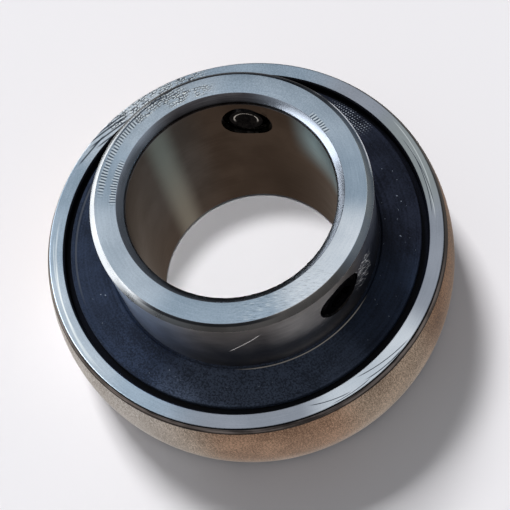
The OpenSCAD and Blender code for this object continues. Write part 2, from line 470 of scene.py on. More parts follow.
def outer_ring():
    """The outer ring: ball track, seal grooves, recesses, corners and sphere, and the grease hole."""
    corner_z = HALF_W - CORNER_H
    corner_r = math.sqrt(OUTER_R**2 - corner_z**2)
    face_r = corner_r - CORNER_IN
    mouth_r = MOUTH_R + MOUTH_EDGE
    lean = math.degrees(math.asin(corner_z / OUTER_R))
    track_x = OUTER_TRACK - TRACK_R
    open_turn = math.degrees(math.acos((SHOULDER_R - track_x) / TRACK_R))
    upper = [
        (SHOULDER_R, SEAL_Z), (GROOVE_R, SEAL_Z), (GROOVE_R, SEAL_TOP), (MOUTH_R, SEAL_TOP),
        (MOUTH_R, HALF_W - MOUTH_EDGE), (mouth_r, HALF_W), (face_r, HALF_W),
    ]
    track = arc(track_x, TRACK_R, -open_turn, open_turn, TRACK_STEPS)
    sphere = arc(0, OUTER_R, lean, -lean, SPHERE_STEPS)
    ring = lathe("outer_ring_dressed", [*track, *upper, *sphere, *mirrored(upper)])
    for side in (1, -1):
        round_loops(ring, [(face_r, side * HALF_W), (corner_r, side * corner_z)], CORNER_ROUND, 4)
        round_loops(ring, [(mouth_r, side * HALF_W)], EDGE_ROUND)
    drill = cylinder("grease_drill", GREASE_R, SHOULDER_R - PAST, OUTER_R + PAST, HOLE_STEPS)
    move(drill, radial(GREASE_TURN, GREASE_Z))
    cut(ring, drill)
    smooth(ring, 30)
    return ring


def tooth(rod, crest, root, low):
    """Makes a square into the open outline of one thread tooth, which starts a pitch below low."""
    flat = CREST_SHARE * PITCH
    corners = {2: (root, 0), 0: (crest, PITCH / 2 - flat), 1: (crest, PITCH / 2 + flat), 3: (root, PITCH)}
    for index, (r, z) in corners.items():
        rod.data.vertices[index].co = (r * MM, 0, (low - PITCH + z) * MM)
    edit()
    bpy.ops.mesh.select_mode(type="EDGE")
    select("SELECT")
    bpy.ops.mesh.delete(type="ONLY_FACE")
    select("DESELECT")
    done()
    for edge in rod.data.edges:
        edge.select = set(edge.vertices) == {2, 3}
    edit()
    bpy.ops.mesh.delete(type="EDGE")
    done()


def thread(name, crest, root, low, high):
    """A threaded rod along +Z: one tooth swept up a helix, cut flat and closed at both ends."""
    deselect()
    bpy.ops.mesh.primitive_plane_add(size=2 * MM)
    rod = added(name)
    tooth(rod, crest, root, low)
    apply(
        rod, "SCREW", axis="Z", angle=math.radians(360), screw_offset=PITCH * MM,
        iterations=math.ceil((high - low) / PITCH) + 2, steps=SCREW_STEPS, render_steps=SCREW_STEPS,
        use_merge_vertices=True, merge_threshold=THREAD_DOUBLES * MM, use_normal_calculate=True,
    )
    edit()
    select("SELECT")
    bpy.ops.mesh.remove_doubles(threshold=THREAD_DOUBLES * MM)
    ends = ((low, {"clear_inner": True}), (high, {"clear_outer": True}))
    for height, side in ends:
        select("SELECT")
        bpy.ops.mesh.bisect(
            plane_co=(0, 0, height * MM), plane_no=(0, 0, 1), use_fill=True, threshold=1e-9, **side
        )
    select("SELECT")
    bpy.ops.mesh.normals_make_consistent(inside=False)
    done()
    return rod


def tap_hole(ring, turn):
    """Taps a set screw's hole and breaks its outer edge at 45 degrees."""
    tap = thread("tap", HOLE_R + THREAD_DEEP, HOLE_R, SCREW_TIP - 2 * PITCH, INNER_R + PAST)
    move(tap, radial(turn, SCREW_Z))
    cut(ring, tap)
    below = SINK_H
    sink = cone("sink", HOLE_R - below, HOLE_R + SINK_H + PAST, INNER_R - SINK_H - below, INNER_R + PAST)
    move(sink, radial(turn, SCREW_Z))
    cut(ring, sink)


def inner_ring():
    """The inner ring: bore, ball track and chamfered ends, and two tapped holes."""
    track_x = INNER_TRACK + TRACK_R
    open_turn = math.degrees(math.acos((track_x - INNER_R) / TRACK_R))
    nose = [(INNER_R, LONG_LEN - NOSE_EDGE), (INNER_R - NOSE_EDGE, LONG_LEN)]
    knee = (BORE_R + KNEE_IN, LONG_LEN - KNEE_H)
    mouth = [(BORE_R + BORE_EDGE_IN, LONG_LEN), knee, (BORE_R, LONG_LEN - BORE_EDGE_H)]
    foot = [
        (BORE_R, FOOT_EDGE_H - SHORT_LEN), (BORE_R + BORE_EDGE_IN, -SHORT_LEN),
        (INNER_R - FOOT_EDGE, -SHORT_LEN), (INNER_R, FOOT_EDGE - SHORT_LEN),
    ]
    track = arc(track_x, TRACK_R, 180 + open_turn, 180 - open_turn, TRACK_STEPS)
    ring = lathe("inner_ring_dressed", [*foot, *track, *nose, *mouth])
    round_loops(ring, [knee], KNEE_ROUND, 4)
    round_loops(ring, [*nose, mouth[0], mouth[-1], *foot], EDGE_ROUND)
    for turn in SCREW_TURNS.values():
        tap_hole(ring, turn)
    smooth(ring, 35)
    return ring


def flinger(name, side):
    """The rubber on a flinger: a cover with a rounded bead along its rim and a groove at its hub."""
    lip_r = HUB_R + LIP_IN
    groove = COVER_TOP - LIP_DEEP
    bead_r = RIM_R - RIM_BEAD_W
    rim_top = COVER_TOP + DISH
    bead_top = rim_top + RIM_BEAD_H
    plate_top = PLATE_Z + PLATE_T
    section = [
        (HUB_R, plate_top), (HUB_R, groove), (HUB_R + LIP_FLOOR, groove), (lip_r, COVER_TOP),
        (bead_r - BEAD_SLOPE, rim_top), (bead_r, bead_top), (RIM_R - BEAD_EDGE, bead_top),
        (RIM_R, bead_top - BEAD_EDGE), (RIM_R, PLATE_Z + DISH), (PLATE_R, PLATE_Z + DISH),
        (PLATE_R, plate_top + DISH),
    ]
    cover = lathe(name, [(r, side * z) for r, z in section])
    round_loops(cover, [(lip_r, side * COVER_TOP)], LIP_ROUND)
    smooth(cover, 40)
    return cover


def set_screw():
    """A set screw along +Z from its cupped tip to its hexagon socket, threaded all the way."""
    screw = thread("set_screw", SCREW_R, SCREW_R - THREAD_DEEP, 0, SCREW_LEN)
    blank = cylinder("blank", SCREW_R + OVERLAP, 0, SCREW_LEN)
    bevel_where(blank, lambda r, z: z > SCREW_LEN / 2, HEAD_EDGE, 1)
    bevel_where(blank, lambda r, z: z < SCREW_LEN / 4, POINT_H, 1)
    cut(screw, blank, "INTERSECT")
    floor = SCREW_LEN - SOCKET_H
    socket = cylinder("socket", SOCKET_R, floor, SCREW_LEN + PAST, SOCKET_SIDES)
    cut(screw, socket)
    drill_point = cone("drill_point", OVERLAP, SOCKET_R * DRILL_SHARE, floor - DRILL_H, floor + OVERLAP)
    cut(screw, drill_point)
    cup = cone("cup", CUP_R + CUP_PAST * CUP_R / CUP_H, 0.0, -CUP_PAST, CUP_H)
    cut(screw, cup)
    smooth(screw, 32)
    return screw


# Paints

class Field:
    """A value that varies over a surface: arithmetic on it adds Math nodes to its paint."""

    def __init__(self, paint, socket):
        self.paint = paint
        self.socket = socket

    def __add__(self, other):
        return self.paint.math("ADD", self, other)

    def __radd__(self, other):
        return self.paint.math("ADD", other, self)

    def __sub__(self, other):
        return self.paint.math("SUBTRACT", self, other)

    def __rsub__(self, other):
        return self.paint.math("SUBTRACT", other, self)

    def __mul__(self, other):
        return self.paint.math("MULTIPLY", self, other)

    def __rmul__(self, other):
        return self.paint.math("MULTIPLY", other, self)

    def __truediv__(self, other):
        return self.paint.math("DIVIDE", self, other)

    def __rtruediv__(self, other):
        return self.paint.math("DIVIDE", other, self)

    def __abs__(self):
        return self.paint.math("ABSOLUTE", self)


class Paint:
    """A material, with the fields that its patterns are worked out from, in millimetres."""

    def __init__(self, name, constants):
        self.material = bpy.data.materials.new(name)
        self.material.use_nodes = True
        self.tree = self.material.node_tree
        self.shader = self.tree.nodes["Principled BSDF"]
        for socket, value in constants.items():
            self.shader.inputs[socket].default_value = value
        place = self.node("TexCoord", {}, {}, "Object")
        self.place = self.node("VectorMath", {"operation": "SCALE"}, {0: place, "Scale": 1 / MM})
        self.x, self.y, self.z = (self.node("SeparateXYZ", {}, {0: self.place}, axis) for axis in "XYZ")
        self.r = self.length(self.x, self.y)
        self.turn = self.math("ARCTAN2", self.y, self.x) * math.degrees(1)

    def node(self, kind, settings, sockets, output=0):
        """Any node: its settings are set first, then the values or links of its sockets."""
        made = self.tree.nodes.new("ShaderNode" + kind)
        for name, value in settings.items():
            setattr(made, name, value)
        for name, value in sockets.items():
            if isinstance(value, Field):
                self.tree.links.new(value.socket, made.inputs[name])
            else:
                made.inputs[name].default_value = value
        return Field(self, made.outputs[output])

    def math(self, operation, *values):
        return self.node("Math", {"operation": operation}, dict(enumerate(values)))

    def length(self, across, up):
        return self.math("SQRT", across * across + up * up)

    def vector(self, x, y, z):
        return self.node("CombineXYZ", {}, {0: x, 1: y, 2: z})

    def round_the_axis(self, along, across, rise):
        """Places for a pattern that runs round the bore: how finely it varies along, across and up."""
        return self.vector(self.x / self.r * along, self.y / self.r * along, self.r * across + self.z * rise)

    def toward(self, azimuth):
        """1 on the side of the bore's axis that lies in this direction, -1 on the other, 0 between."""
        a = math.radians(azimuth)
        return (self.x * math.cos(a) + self.y * math.sin(a)) / self.r

    def side(self, azimuth, low, high, start=0.0, end=1.0):
        """A ramp round the bore's axis, by the cosine of the angle from this direction."""
        return self.ramp(self.toward(azimuth), low, high, start, end)

    def noise(self, vector, scale=1.0, detail=3.0, roughness=0.5):
        sockets = {"Vector": vector, "Scale": scale, "Detail": detail, "Roughness": roughness}
        return self.node("TexNoise", {}, sockets)

    def ramp(self, value, low, high, start=0.0, end=1.0):
        """From start to end, smoothly, as value goes from low to high."""
        sockets = {0: value, 1: low, 2: high, 3: start, 4: end}
        return self.node("MapRange", {"interpolation_type": "SMOOTHSTEP"}, sockets)

    def band(self, value, low, high, soft):
        """1 between low and high, falling to 0 over the soft distance outside."""
        return self.ramp(value, low - soft, low) * self.ramp(value, high, high + soft, 1.0, 0.0)

    def mix(self, amount, first, second):
        settings = {"data_type": "RGBA", "clamp_factor": True}
        first, second = (c if isinstance(c, Field) else (*c, 1.0) for c in (first, second))
        return self.node("Mix", settings, {0: amount, 6: first, 7: second}, 2)

    def shades(self, noise, dark, light, low=0.35, high=0.65):
        """A colour that follows a noise, from dark to light as the noise goes from low to high."""
        return self.mix(self.ramp(noise, low, high), dark, light)

    def rough(self, noise, least, most):
        """A roughness that follows a noise, over the range that noise mostly keeps to."""
        return self.ramp(noise, 0.3, 0.7, least, most)

    def bricks(self, along, across):
        """1 on the lines of a fine brick pattern."""
        sockets = {
            "Vector": self.vector(along, across, 0.0), "Scale": 1.0, "Mortar Size": 0.075,
            "Mortar Smooth": 0.3, "Brick Width": 0.52, "Row Height": 0.38,
        }
        return self.node("TexBrick", {"offset": 0.5}, sockets, "Fac")

    def scratch(self, centre, radius, start, stop, width):
        """A scratch along part of a circle, seen along the bore's axis: 1 on it, 0 beside it."""
        middle = math.radians((start + stop) / 2)
        half = math.radians((stop - start) / 2)
        dx = self.x - centre[0]
        dy = self.y - centre[1]
        reach = self.length(dx, dy)
        facing = (dx * math.cos(middle) + dy * math.sin(middle)) / reach
        across = self.ramp(abs(reach - radius), width / 2, width, 1.0, 0.0)
        return across * self.ramp(facing, math.cos(half), math.cos(half * SCRATCH_FULL))

    def finish(self, colour, roughness=None, metallic=None, glow=None, height=None, depth=0.0):
        """Links what varies to the shader. Height is a bump pattern, and depth its size in millimetres."""
        links = {"Base Color": colour, "Roughness": roughness, "Metallic": metallic, "Emission Color": glow}
        if height is not None:
            links["Normal"] = self.node("Bump", {}, {"Height": height, "Distance": depth * MM})
        for name, field in links.items():
            if field is not None:
                self.tree.links.new(field.socket, self.shader.inputs[name])
        return self.material


# The paints of the rings

def face_colour(p, lines, speck):
    """The faces' bluish grey in clouds of another tint, with painted highlights towards some directions,
    and on the outer ring greyer on one side as a painted reflection, and greenish grey on another.
    """
    cloud = p.noise(p.place, 0.16, 2)
    grainy = p.side(135, 0.2, 0.9, 0.6, 1.5)
    tone = p.ramp((lines - 0.5) * 0.5 + (speck - 0.5) * grainy + (cloud - 0.5) * 0.7, -0.28, 0.28)
    blue = p.mix(tone, (0.27, 0.35, 0.43), (0.44, 0.54, 0.64))
    grey = p.mix(tone, (0.29, 0.32, 0.37), (0.40, 0.43, 0.49))
    bright = p.mix(tone, (0.62, 0.69, 0.76), (0.86, 0.91, 0.96))
    inner = blue
    # The bright colour is a painted highlight, mixed in towards the directions in the highlight tables
    for azimuth, low, high, strength in PAINTED_END_HIGHLIGHTS:
        inner = p.mix(p.side(azimuth, low, high) * strength, inner, bright)
    # Painted reflection: the outer ring is greyer on one side
    outer = p.mix(p.side(20, -0.1, 0.25), blue, grey)
    for azimuth, low, high, strength in PAINTED_SIDE_HIGHLIGHTS:
        outer = p.mix(p.side(azimuth, low, high) * strength, outer, bright)
    on_outer = p.ramp(p.r, *BETWEEN)
    colour = p.mix(on_outer, inner, outer)
    return p.mix(p.side(66, 0.93, 0.99) * on_outer * 0.6, colour, (0.34, 0.38, 0.355))


def scratches(p):
    """Dark scratches and pale arcs on the faces."""
    dark = sum(p.scratch(*line) for line in FACE_SCRATCHES)
    pale = sum(p.scratch(*line) for line in PALE_ARCS) * 0.55
    return dark, pale


def ticks(p, radius, start, stop, step):
    """A ragged row of slanting ticks, dark and pale by turns."""
    slant = p.r * 120 + p.noise(p.place, 1.1, 2) * 200
    wave = p.math("SINE", (p.turn * (360 / step) + slant) * math.radians(1))
    half = math.radians((stop - start) / 2)
    ragged = p.r + p.noise(p.place, 2.0, 2) * 0.8 - 0.4
    row = p.band(ragged, radius - TICK_HALF, radius + TICK_HALF, 0.2)
    row = row * p.side((start + stop) / 2, math.cos(half), math.cos(half * 0.7))
    return p.ramp(wave, 0.2, 0.7) * row, p.ramp(wave, -0.2, -0.7) * row * 0.7


def chatter(p):
    """Worn patches of short dark lines, each with a pale one beside it."""
    wobble = p.noise(p.place, 0.35, 2)
    shake = p.noise(p.place, 1.3, 3)
    along = p.turn * 0.34 + shake * 1.5
    across = p.r * 1.1 + wobble + shake * 0.8
    wear_and_glint = 0.0
    for low, high, start, stop in CHATTER:
        wear_and_glint = wear_and_glint + p.band(p.r, low, high, 0.2) * p.band(p.turn, start, stop, 8)
    wear_and_glint = wear_and_glint * p.ramp(shake, 0.34, 0.5)
    return wear_and_glint * p.bricks(along, across), wear_and_glint * p.bricks(along + 0.12, across + 0.13) * 0.8


def hatching(p):
    """Fine slanting lines on one side of the inner ring's end face."""
    hatch = p.noise(p.vector(p.x * 0.8 + p.y * 0.8, (p.x - p.y) * 7, 0.0), detail=2)
    hatched = p.side(-22, 0.88, 0.97) * (1 - p.ramp(p.r, *BETWEEN))
    return p.ramp(hatch, 0.56, 0.66) * hatched * 0.4, p.ramp(hatch, 0.44, 0.34) * hatched * 0.5


def ground_steel():
    """The rings' end and side faces: ground steel, pale and bluish, with painted highlights and painted
    reflection towards some directions, finely speckled, with faint grinding marks round the axis, and on
    the upper side scratches, ticks, chatter marks and hatching."""
    p = Paint("ground_steel", STEEL)
    lines = p.noise(p.round_the_axis(6, 12, 0), detail=4, roughness=0.6)
    speck = p.noise(p.place, 5.5, 3, 0.7)
    marks = [scratches(p), chatter(p), hatching(p), *(ticks(p, *row) for row in TICKS)]
    upper = p.ramp(p.z, 0, 1)
    dark = sum(mark[0] for mark in marks) * upper
    pale = sum(mark[1] for mark in marks) * upper
    colour = face_colour(p, lines, speck)
    colour = p.mix(pale * 0.85, colour, (0.95, 1.0, 1.0))
    colour = p.mix(dark * 0.9, colour, (0.04, 0.05, 0.07))
    height = lines + speck * 0.5 - dark
    return p.finish(colour, p.rough(speck, 0.32, 0.46), height=height, depth=0.004)


def nose_steel():
    """The chamfers of the inner ring's ends, apart from the bore's mouth: turned and satiny, warmer on one
    side, with a painted highlight on another side and painted shade on a third, a painted shade line
    along the face and a thin painted highlight along the edge at the wall."""
    p = Paint("nose_steel", SATIN_STEEL)
    lines = p.noise(p.round_the_axis(4, 7, 7), detail=3)
    cloud = p.noise(p.place, 0.3, 3)
    tone = p.ramp(lines * 0.5 + cloud * 0.5, 0.35, 0.65)
    plain = p.mix(tone, (0.27, 0.285, 0.30), (0.37, 0.39, 0.41))
    warm = p.mix(tone, (0.29, 0.27, 0.255), (0.39, 0.365, 0.35))
    bright = p.mix(tone, (0.68, 0.80, 0.95), (0.88, 0.97, 1.0))
    dark = p.mix(tone, (0.04, 0.05, 0.07), (0.10, 0.12, 0.16))
    # Warmer on one side, a painted highlight on another and painted shade on a third
    colour = p.mix(p.side(-30, 0.75, 0.95), plain, warm)
    colour = p.mix(p.side(45, 0.70, 0.90), colour, bright)
    colour = p.mix(p.side(130, 0.78, 0.90), colour, dark)
    # A painted shade line along the face, on one side
    line = p.ramp(p.z, LONG_LEN - 0.35, LONG_LEN - 0.22) * p.side(-58, 0.82, 0.93)
    colour = p.mix(line * 0.9, colour, (0.04, 0.045, 0.055))
    # A thin painted highlight along the edge at the wall, on one side, made dull so that it shows pale
    edge = LONG_LEN - NOSE_EDGE
    wear_and_glint = p.ramp(p.z, edge + 0.22, edge + 0.08) * p.side(72, 0.90, 0.97) * p.ramp(cloud, 0.3, 0.5)
    colour = p.mix(wear_and_glint, colour, (0.72, 0.74, 0.80))
    metallic = 1 - wear_and_glint * 0.9
    return p.finish(colour, p.rough(cloud, 0.22, 0.3), metallic, height=lines, depth=0.0015)


def mouth_steel():
    """The bore's chamfer: turned and satiny, with painted shade on one side."""
    p = Paint("mouth_steel", SATIN_STEEL)
    lines = p.noise(p.round_the_axis(4, 7, 7), detail=3)
    cloud = p.noise(p.place, 0.3, 3)
    tone = p.ramp(lines * 0.5 + cloud * 0.5, 0.35, 0.65)
    plain = p.mix(tone, (0.285, 0.325, 0.385), (0.375, 0.42, 0.495))
    dark = p.mix(tone, (0.06, 0.055, 0.06), (0.11, 0.105, 0.11))
    # Painted shade: darker on one side
    colour = p.mix(p.side(145, 0.76, 0.96), plain, dark)
    return p.finish(colour, p.rough(cloud, 0.22, 0.3), height=lines, depth=0.0015)


def corner_steel():
    """The corner chamfers: satiny, brownish as a painted reflection of brown surroundings, in fine dark and
    pale lines, with painted shade on one side, and a painted shade line, nearly black, along the face
    and another along the seat."""
    p = Paint("corner_steel", STEEL)
    lines = p.noise(p.round_the_axis(3, 7, 7), detail=4, roughness=0.65)
    cloud = p.noise(p.place, 0.4, 3)
    # The brownish tone is a painted reflection of brown surroundings
    colour = p.shades(lines * 0.7 + cloud * 0.3, (0.12, 0.10, 0.093), (0.54, 0.47, 0.44), 0.38, 0.6)
    # Painted shade on one side
    colour = p.mix(p.side(72, 0.55, 0.85) * 0.85, colour, (0.03, 0.03, 0.034))
    height = abs(p.z)
    seat = HALF_W - CORNER_H
    # Painted shade lines, nearly black, along the seat and along the face
    colour = p.mix(p.ramp(height, seat + 0.28, seat + 0.14) * 0.85, colour, (0.02, 0.018, 0.018))
    colour = p.mix(p.ramp(height, HALF_W - 0.35, HALF_W - 0.2), colour, (0.012, 0.012, 0.014))
    return p.finish(colour, p.rough(cloud, 0.3, 0.42), height=lines, depth=0.004)


def recess_painted_shade():
    """The wall of the recess in a side face: painted nearly black as shade."""
    p = Paint("recess_painted_shade", PAINTED_SHADE_BLACK)
    lines = p.noise(p.round_the_axis(4, 0, 8), detail=3)
    # Painted shade: nearly black
    colour = p.shades(lines, (0.0008, 0.001, 0.002), (0.003, 0.004, 0.008))
    return p.finish(colour, p.rough(lines, 0.4, 0.55), height=lines, depth=0.003)


def seat_steel():
    """The spherical outside: satiny, with a fine grain, tan as a painted reflection of brown surroundings,
    and with painted reflection that is browner on one side, paler on another and near its lower edge,
    and darker on a third."""
    p = Paint("seat_steel", STEEL)
    grain = p.noise(p.vector(p.x * 5, p.y * 5, p.z * 1.6), detail=4, roughness=0.65)
    speck = p.noise(p.place, 6.0, 3, 0.7)
    cloud = p.noise(p.place, 0.16, 2)
    tone = p.ramp((grain - 0.5) * 0.8 + (speck - 0.5) * 1.6 + (cloud - 0.5) * 0.5, -0.26, 0.26)
    tan = p.mix(tone, (0.26, 0.185, 0.13), (0.87, 0.71, 0.58))
    brown = p.mix(tone, (0.25, 0.145, 0.09), (0.78, 0.52, 0.37))
    pale = p.mix(tone, (0.48, 0.43, 0.39), (1.0, 0.98, 0.97))
    painted_shade = p.mix(tone, (0.16, 0.085, 0.05), (0.58, 0.35, 0.22))
    low = p.mix(tone, (0.5, 0.47, 0.45), (1.0, 0.97, 0.95))
    # Painted reflection: browner, paler and darker on three sides, and paler near the lower edge
    colour = p.mix(p.side(-38, 0.90, 0.98), tan, brown)
    colour = p.mix(p.side(-100, 0.70, 0.97), colour, pale)
    colour = p.mix(p.side(38, 0.84, 0.95), colour, painted_shade)
    colour = p.mix(p.ramp(p.z, -6.5, -1, 0.45, 0.0), colour, low)
    return p.finish(colour, p.rough(speck, 0.36, 0.5), height=grain + speck * 0.5, depth=0.006)


def wall_colour(p, tone, cloud):
    """The wall's brownish grey, bluish on one side as a painted reflection, with painted shade on the other
    side and on part of the first, and darker towards the flinger as a painted reflection of its rubber.
    """
    warm = p.mix(tone, (0.37, 0.34, 0.325), (0.56, 0.51, 0.49))
    blue = p.mix(tone, (0.34, 0.41, 0.55), (0.52, 0.61, 0.79))
    dim = p.mix(tone, (0.17, 0.20, 0.27), (0.32, 0.36, 0.46))
    # Painted reflection: bluish on one side; painted shade: dim on the other
    colour = p.mix(p.side(-110, 0.6, 0.95), warm, blue)
    colour = p.mix(p.side(35, 0.88, 0.99), colour, dim)
    # Darker towards the flinger: a painted reflection of its dark rubber
    low = p.ramp(p.z + (cloud - 0.5) * 6, 8, 16, 0.75, 0.0) * p.side(-105, 0.6, 0.95, 1.0, 0.2)
    colour = p.mix(low, colour, (0.14, 0.14, 0.16))
    # Painted shade on one side, part way up
    shade = p.side(-122, 0.90, 0.975) * p.ramp(p.z, 9, 14, 0.5, 0.85)
    return p.mix(shade, colour, (0.05, 0.065, 0.10))


def wall_steel():
    """The inner ring's outside: turned and satiny, with a painted highlight stretch on one side, scuff
    marks beside a screw painted white as glints, and one pale scratch."""
    p = Paint("wall_steel", STEEL)
    lines = p.noise(p.round_the_axis(3, 0, 8), detail=4, roughness=0.6)
    cloud = p.noise(p.place, 0.3, 3)
    tone = p.ramp((lines - 0.5) * 0.6 + (cloud - 0.5) * 0.6, -0.2, 0.2)
    # The pale colour of the painted highlight stretch on one side
    pale = p.mix(tone, (0.72, 0.69, 0.67), (0.98, 0.95, 0.93))
    painted_sheen = p.side(-17, 0.94, 0.998)
    colour = p.mix(painted_sheen * 0.4, wall_colour(p, tone, cloud), pale)
    # Scuff marks beside a screw, painted white as glints
    strokes = p.noise(p.vector(p.turn * 0.1 - p.z * 0.35, p.turn * 1.6 + p.z * 4.5, 0.0), 1.0, 2, 0.65)
    patch = p.band(p.turn, 13, 19, 7) * p.band(p.z, 11, 14.5, 2.5)
    scuffs_and_glints = p.ramp(strokes + patch * 0.12, 0.63, 0.74) * p.ramp(patch, 0.1, 0.6)
    colour = p.mix(scuffs_and_glints, colour, (1.0, 1.0, 1.0))
    line = abs(p.z - 12.4 - (p.turn + 50.3) * 0.3)
    scratch = p.ramp(line, 0.06, 0.13, 1.0, 0.0) * p.band(p.turn, -49, -38, 2)
    colour = p.mix(scratch, colour, (1.0, 0.97, 0.92))
    metallic = 1 - scratch - scuffs_and_glints * 0.7 - painted_sheen * p.band(p.z, 13, 16.5, 2.5) * 0.25
    return p.finish(colour, p.rough(lines, 0.36, 0.44), metallic, height=lines, depth=0.002)


def bore_steel():
    """The bore: honed and satiny, brown as a painted reflection of brown surroundings, greyer on one side,
    with painted shade low down on two sides, a painted bluish reflection patch below the mouth and a
    painted highlight band across from it."""
    p = Paint("bore_steel", BROWN_STEEL)
    lines = p.noise(p.round_the_axis(3, 0, 6), detail=3)
    cloud = p.noise(p.place, 0.2, 3)
    tone = p.ramp(lines * 0.4 + cloud * 0.6, 0.35, 0.65)
    brown = p.mix(tone, (0.067, 0.048, 0.038), (0.102, 0.075, 0.060))
    grey = p.mix(tone, (0.080, 0.080, 0.081), (0.125, 0.124, 0.126))
    colour = p.mix(p.side(-155, 0.5, 0.9) * p.ramp(p.z, -7, 8, 0.3, 1.0), brown, grey)
    # Painted shade low down on two sides
    painted_shade = p.ramp(abs(p.toward(-10)), 0.9, 0.5) * p.ramp(p.z, -2, 12, 0.75, 0.0)
    colour = p.mix(painted_shade, colour, (0.025, 0.016, 0.013))
    # A painted bluish reflection below the mouth
    patch = p.band(p.turn, 56, 78, 24) * p.ramp(p.z, 7, 16)
    colour = p.mix(patch, colour, (0.56, 0.86, 1.0))
    # A painted highlight band across from the patch
    highlight_band = p.mix(p.ramp(p.z, -6, 16), (0.42, 0.41, 0.36), (0.29, 0.37, 0.37))
    colour = p.mix(p.ramp(abs(p.turn), 167, 179) * 0.75, colour, highlight_band)
    return p.finish(colour, p.rough(lines, 0.3, 0.38), height=lines, depth=0.003)


def hole_painted_shade():
    """The tapped holes: thread flanks painted dark as shade."""
    p = Paint("hole_painted_shade", STEEL)
    cloud = p.noise(p.place, 1.4, 3)
    # Painted shade: nearly black
    colour = p.shades(cloud, (0.015, 0.013, 0.012), (0.05, 0.044, 0.04))
    return p.finish(colour, p.rough(cloud, 0.25, 0.4), height=cloud, depth=0.006)


def track_steel():
    """Ball tracks, shoulders and grooves: polished round the axis."""
    p = Paint("track_steel", STEEL)
    lines = p.noise(p.round_the_axis(4, 8, 8), detail=3)
    colour = p.shades(lines, (0.45, 0.47, 0.49), (0.62, 0.64, 0.66))
    return p.finish(colour, p.rough(lines, 0.18, 0.3), height=lines, depth=0.002)


# The paints of the other pieces and of the floor

def sheet_steel(name, dark, light):
    """Pressed sheet: faint clouds and fine rolling marks."""
    p = Paint(name, STEEL)
    cloud = p.noise(p.place, 0.8, 4, 0.6)
    lines = p.noise(p.vector(p.x * 0.7, p.y * 7, p.z * 7), detail=3)
    colour = p.shades(cloud * 0.7 + lines * 0.3, dark, light)
    return p.finish(colour, p.rough(cloud, 0.3, 0.5), height=lines + cloud, depth=0.005)


def ball_steel():
    """Lapped balls: mirror bright, with a trace of grease cloud."""
    p = Paint("ball_steel", STEEL)
    cloud = p.noise(p.place, 0.9, 3)
    colour = p.shades(cloud, (0.74, 0.75, 0.77), (0.86, 0.87, 0.88), 0.4, 0.65)
    return p.finish(colour, p.ramp(cloud, 0.35, 0.65, 0.06, 0.14))


def screw_steel(name, turn):
    """Black oxide, with a painted glint on part of the cup's rim."""
    p = Paint(f"screw_steel_{name}", BLACK_STEEL)
    cloud = p.noise(p.place, 1.6, 4, 0.6)
    fine = p.noise(p.place, 7.0, 3)
    away = direction(turn, 0)
    rise = p.z - SCREW_Z
    reach = p.length(p.x * away.y - p.y * away.x, rise)
    along = p.x * away.x + p.y * away.y
    tip = p.ramp(along, SCREW_TIP + 0.3, SCREW_TIP + 0.5, 1.0, 0.0)
    rim = p.band(reach, CUP_R - 0.1, CUP_R + 0.02, 0.06) * tip
    # A painted glint on the upper part of the cup's rim
    wear_and_glint = rim * p.ramp(rise, -0.7, 0.1) * p.ramp(cloud, 0.36, 0.5)
    colour = p.shades(cloud * 0.6 + fine * 0.4, (0.006, 0.006, 0.007), (0.03, 0.027, 0.027), 0.35, 0.7)
    colour = p.mix(wear_and_glint, colour, (0.9, 0.88, 0.85))
    return p.finish(colour, p.rough(fine, 0.26, 0.42), height=fine, depth=0.006)


def flinger_rubber():
    """The flingers' rubber: matt blue-black, sandy and speckled, with faint rings from its mould, painted
    lighter on the side where the wall's shadow falls and darker as painted shade on another, and on the
    upper side a patch of painted highlight specks and painted highlight lines along bead and lip."""
    p = Paint("flinger_rubber", RUBBER)
    sand = p.noise(p.place, 4.6, 2, 0.6)
    speck = p.noise(p.place, 3.6, 0)
    rings = p.noise(p.round_the_axis(1.5, 4, 0), detail=3)
    cloud = p.noise(p.place, 0.3, 2)
    grainy = p.side(-62, 0.6, 0.95, 0.8, 2.0)
    tone = p.ramp((sand - 0.5) * grainy + (rings - 0.5) * 0.5 + (cloud - 0.5) * 0.6, -0.3, 0.3)
    plain = p.mix(tone, (0.009, 0.0135, 0.025), (0.025, 0.037, 0.068))
    painted_light = p.mix(tone, (0.022, 0.030, 0.048), (0.080, 0.104, 0.160))
    dark = p.mix(tone, (0.003, 0.004, 0.008), (0.017, 0.021, 0.036))
    # Painted light: lighter on the side where the wall's shadow falls; painted shade: darker on another
    colour = p.mix(p.side(-40, 0.74, 0.92), plain, painted_light)
    colour = p.mix(p.side(85, 0.45, 0.72), colour, dark)
    colour = p.mix(p.ramp(speck, 0.84, 0.88) * 0.7, colour, (0.30, 0.35, 0.43))
    upper = p.ramp(p.z, 0, 1)
    # Painted highlights: a patch of pale specks on the upper side
    sockets = {"Vector": p.vector(p.turn * 0.35 + p.r * 0.5, p.r, 0.0), "Scale": 3.0, "Randomness": 0.1}
    glint_dots = p.ramp(p.node("TexVoronoi", {}, sockets), 0.16, 0.3, 1.0, 0.0)
    glint_dots = glint_dots * p.band(p.r, 20.6, 21.4, 1.0) * p.band(p.turn, 88, 96, 6) * p.ramp(cloud + sand, 0.75, 1.1)
    colour = p.mix(glint_dots * upper, colour, (0.42, 0.47, 0.54))
    # Painted highlights along the bead and the lip
    colour = p.mix(p.scratch(*BEAD_HIGHLIGHT) * upper * 0.8, colour, (0.07, 0.08, 0.10))
    colour = p.mix(p.scratch(*LIP_HIGHLIGHT) * upper * 0.9, colour, (0.75, 0.69, 0.61))
    return p.finish(colour, p.rough(sand, 0.5, 0.7), height=sand + rings * 0.5, depth=0.025)


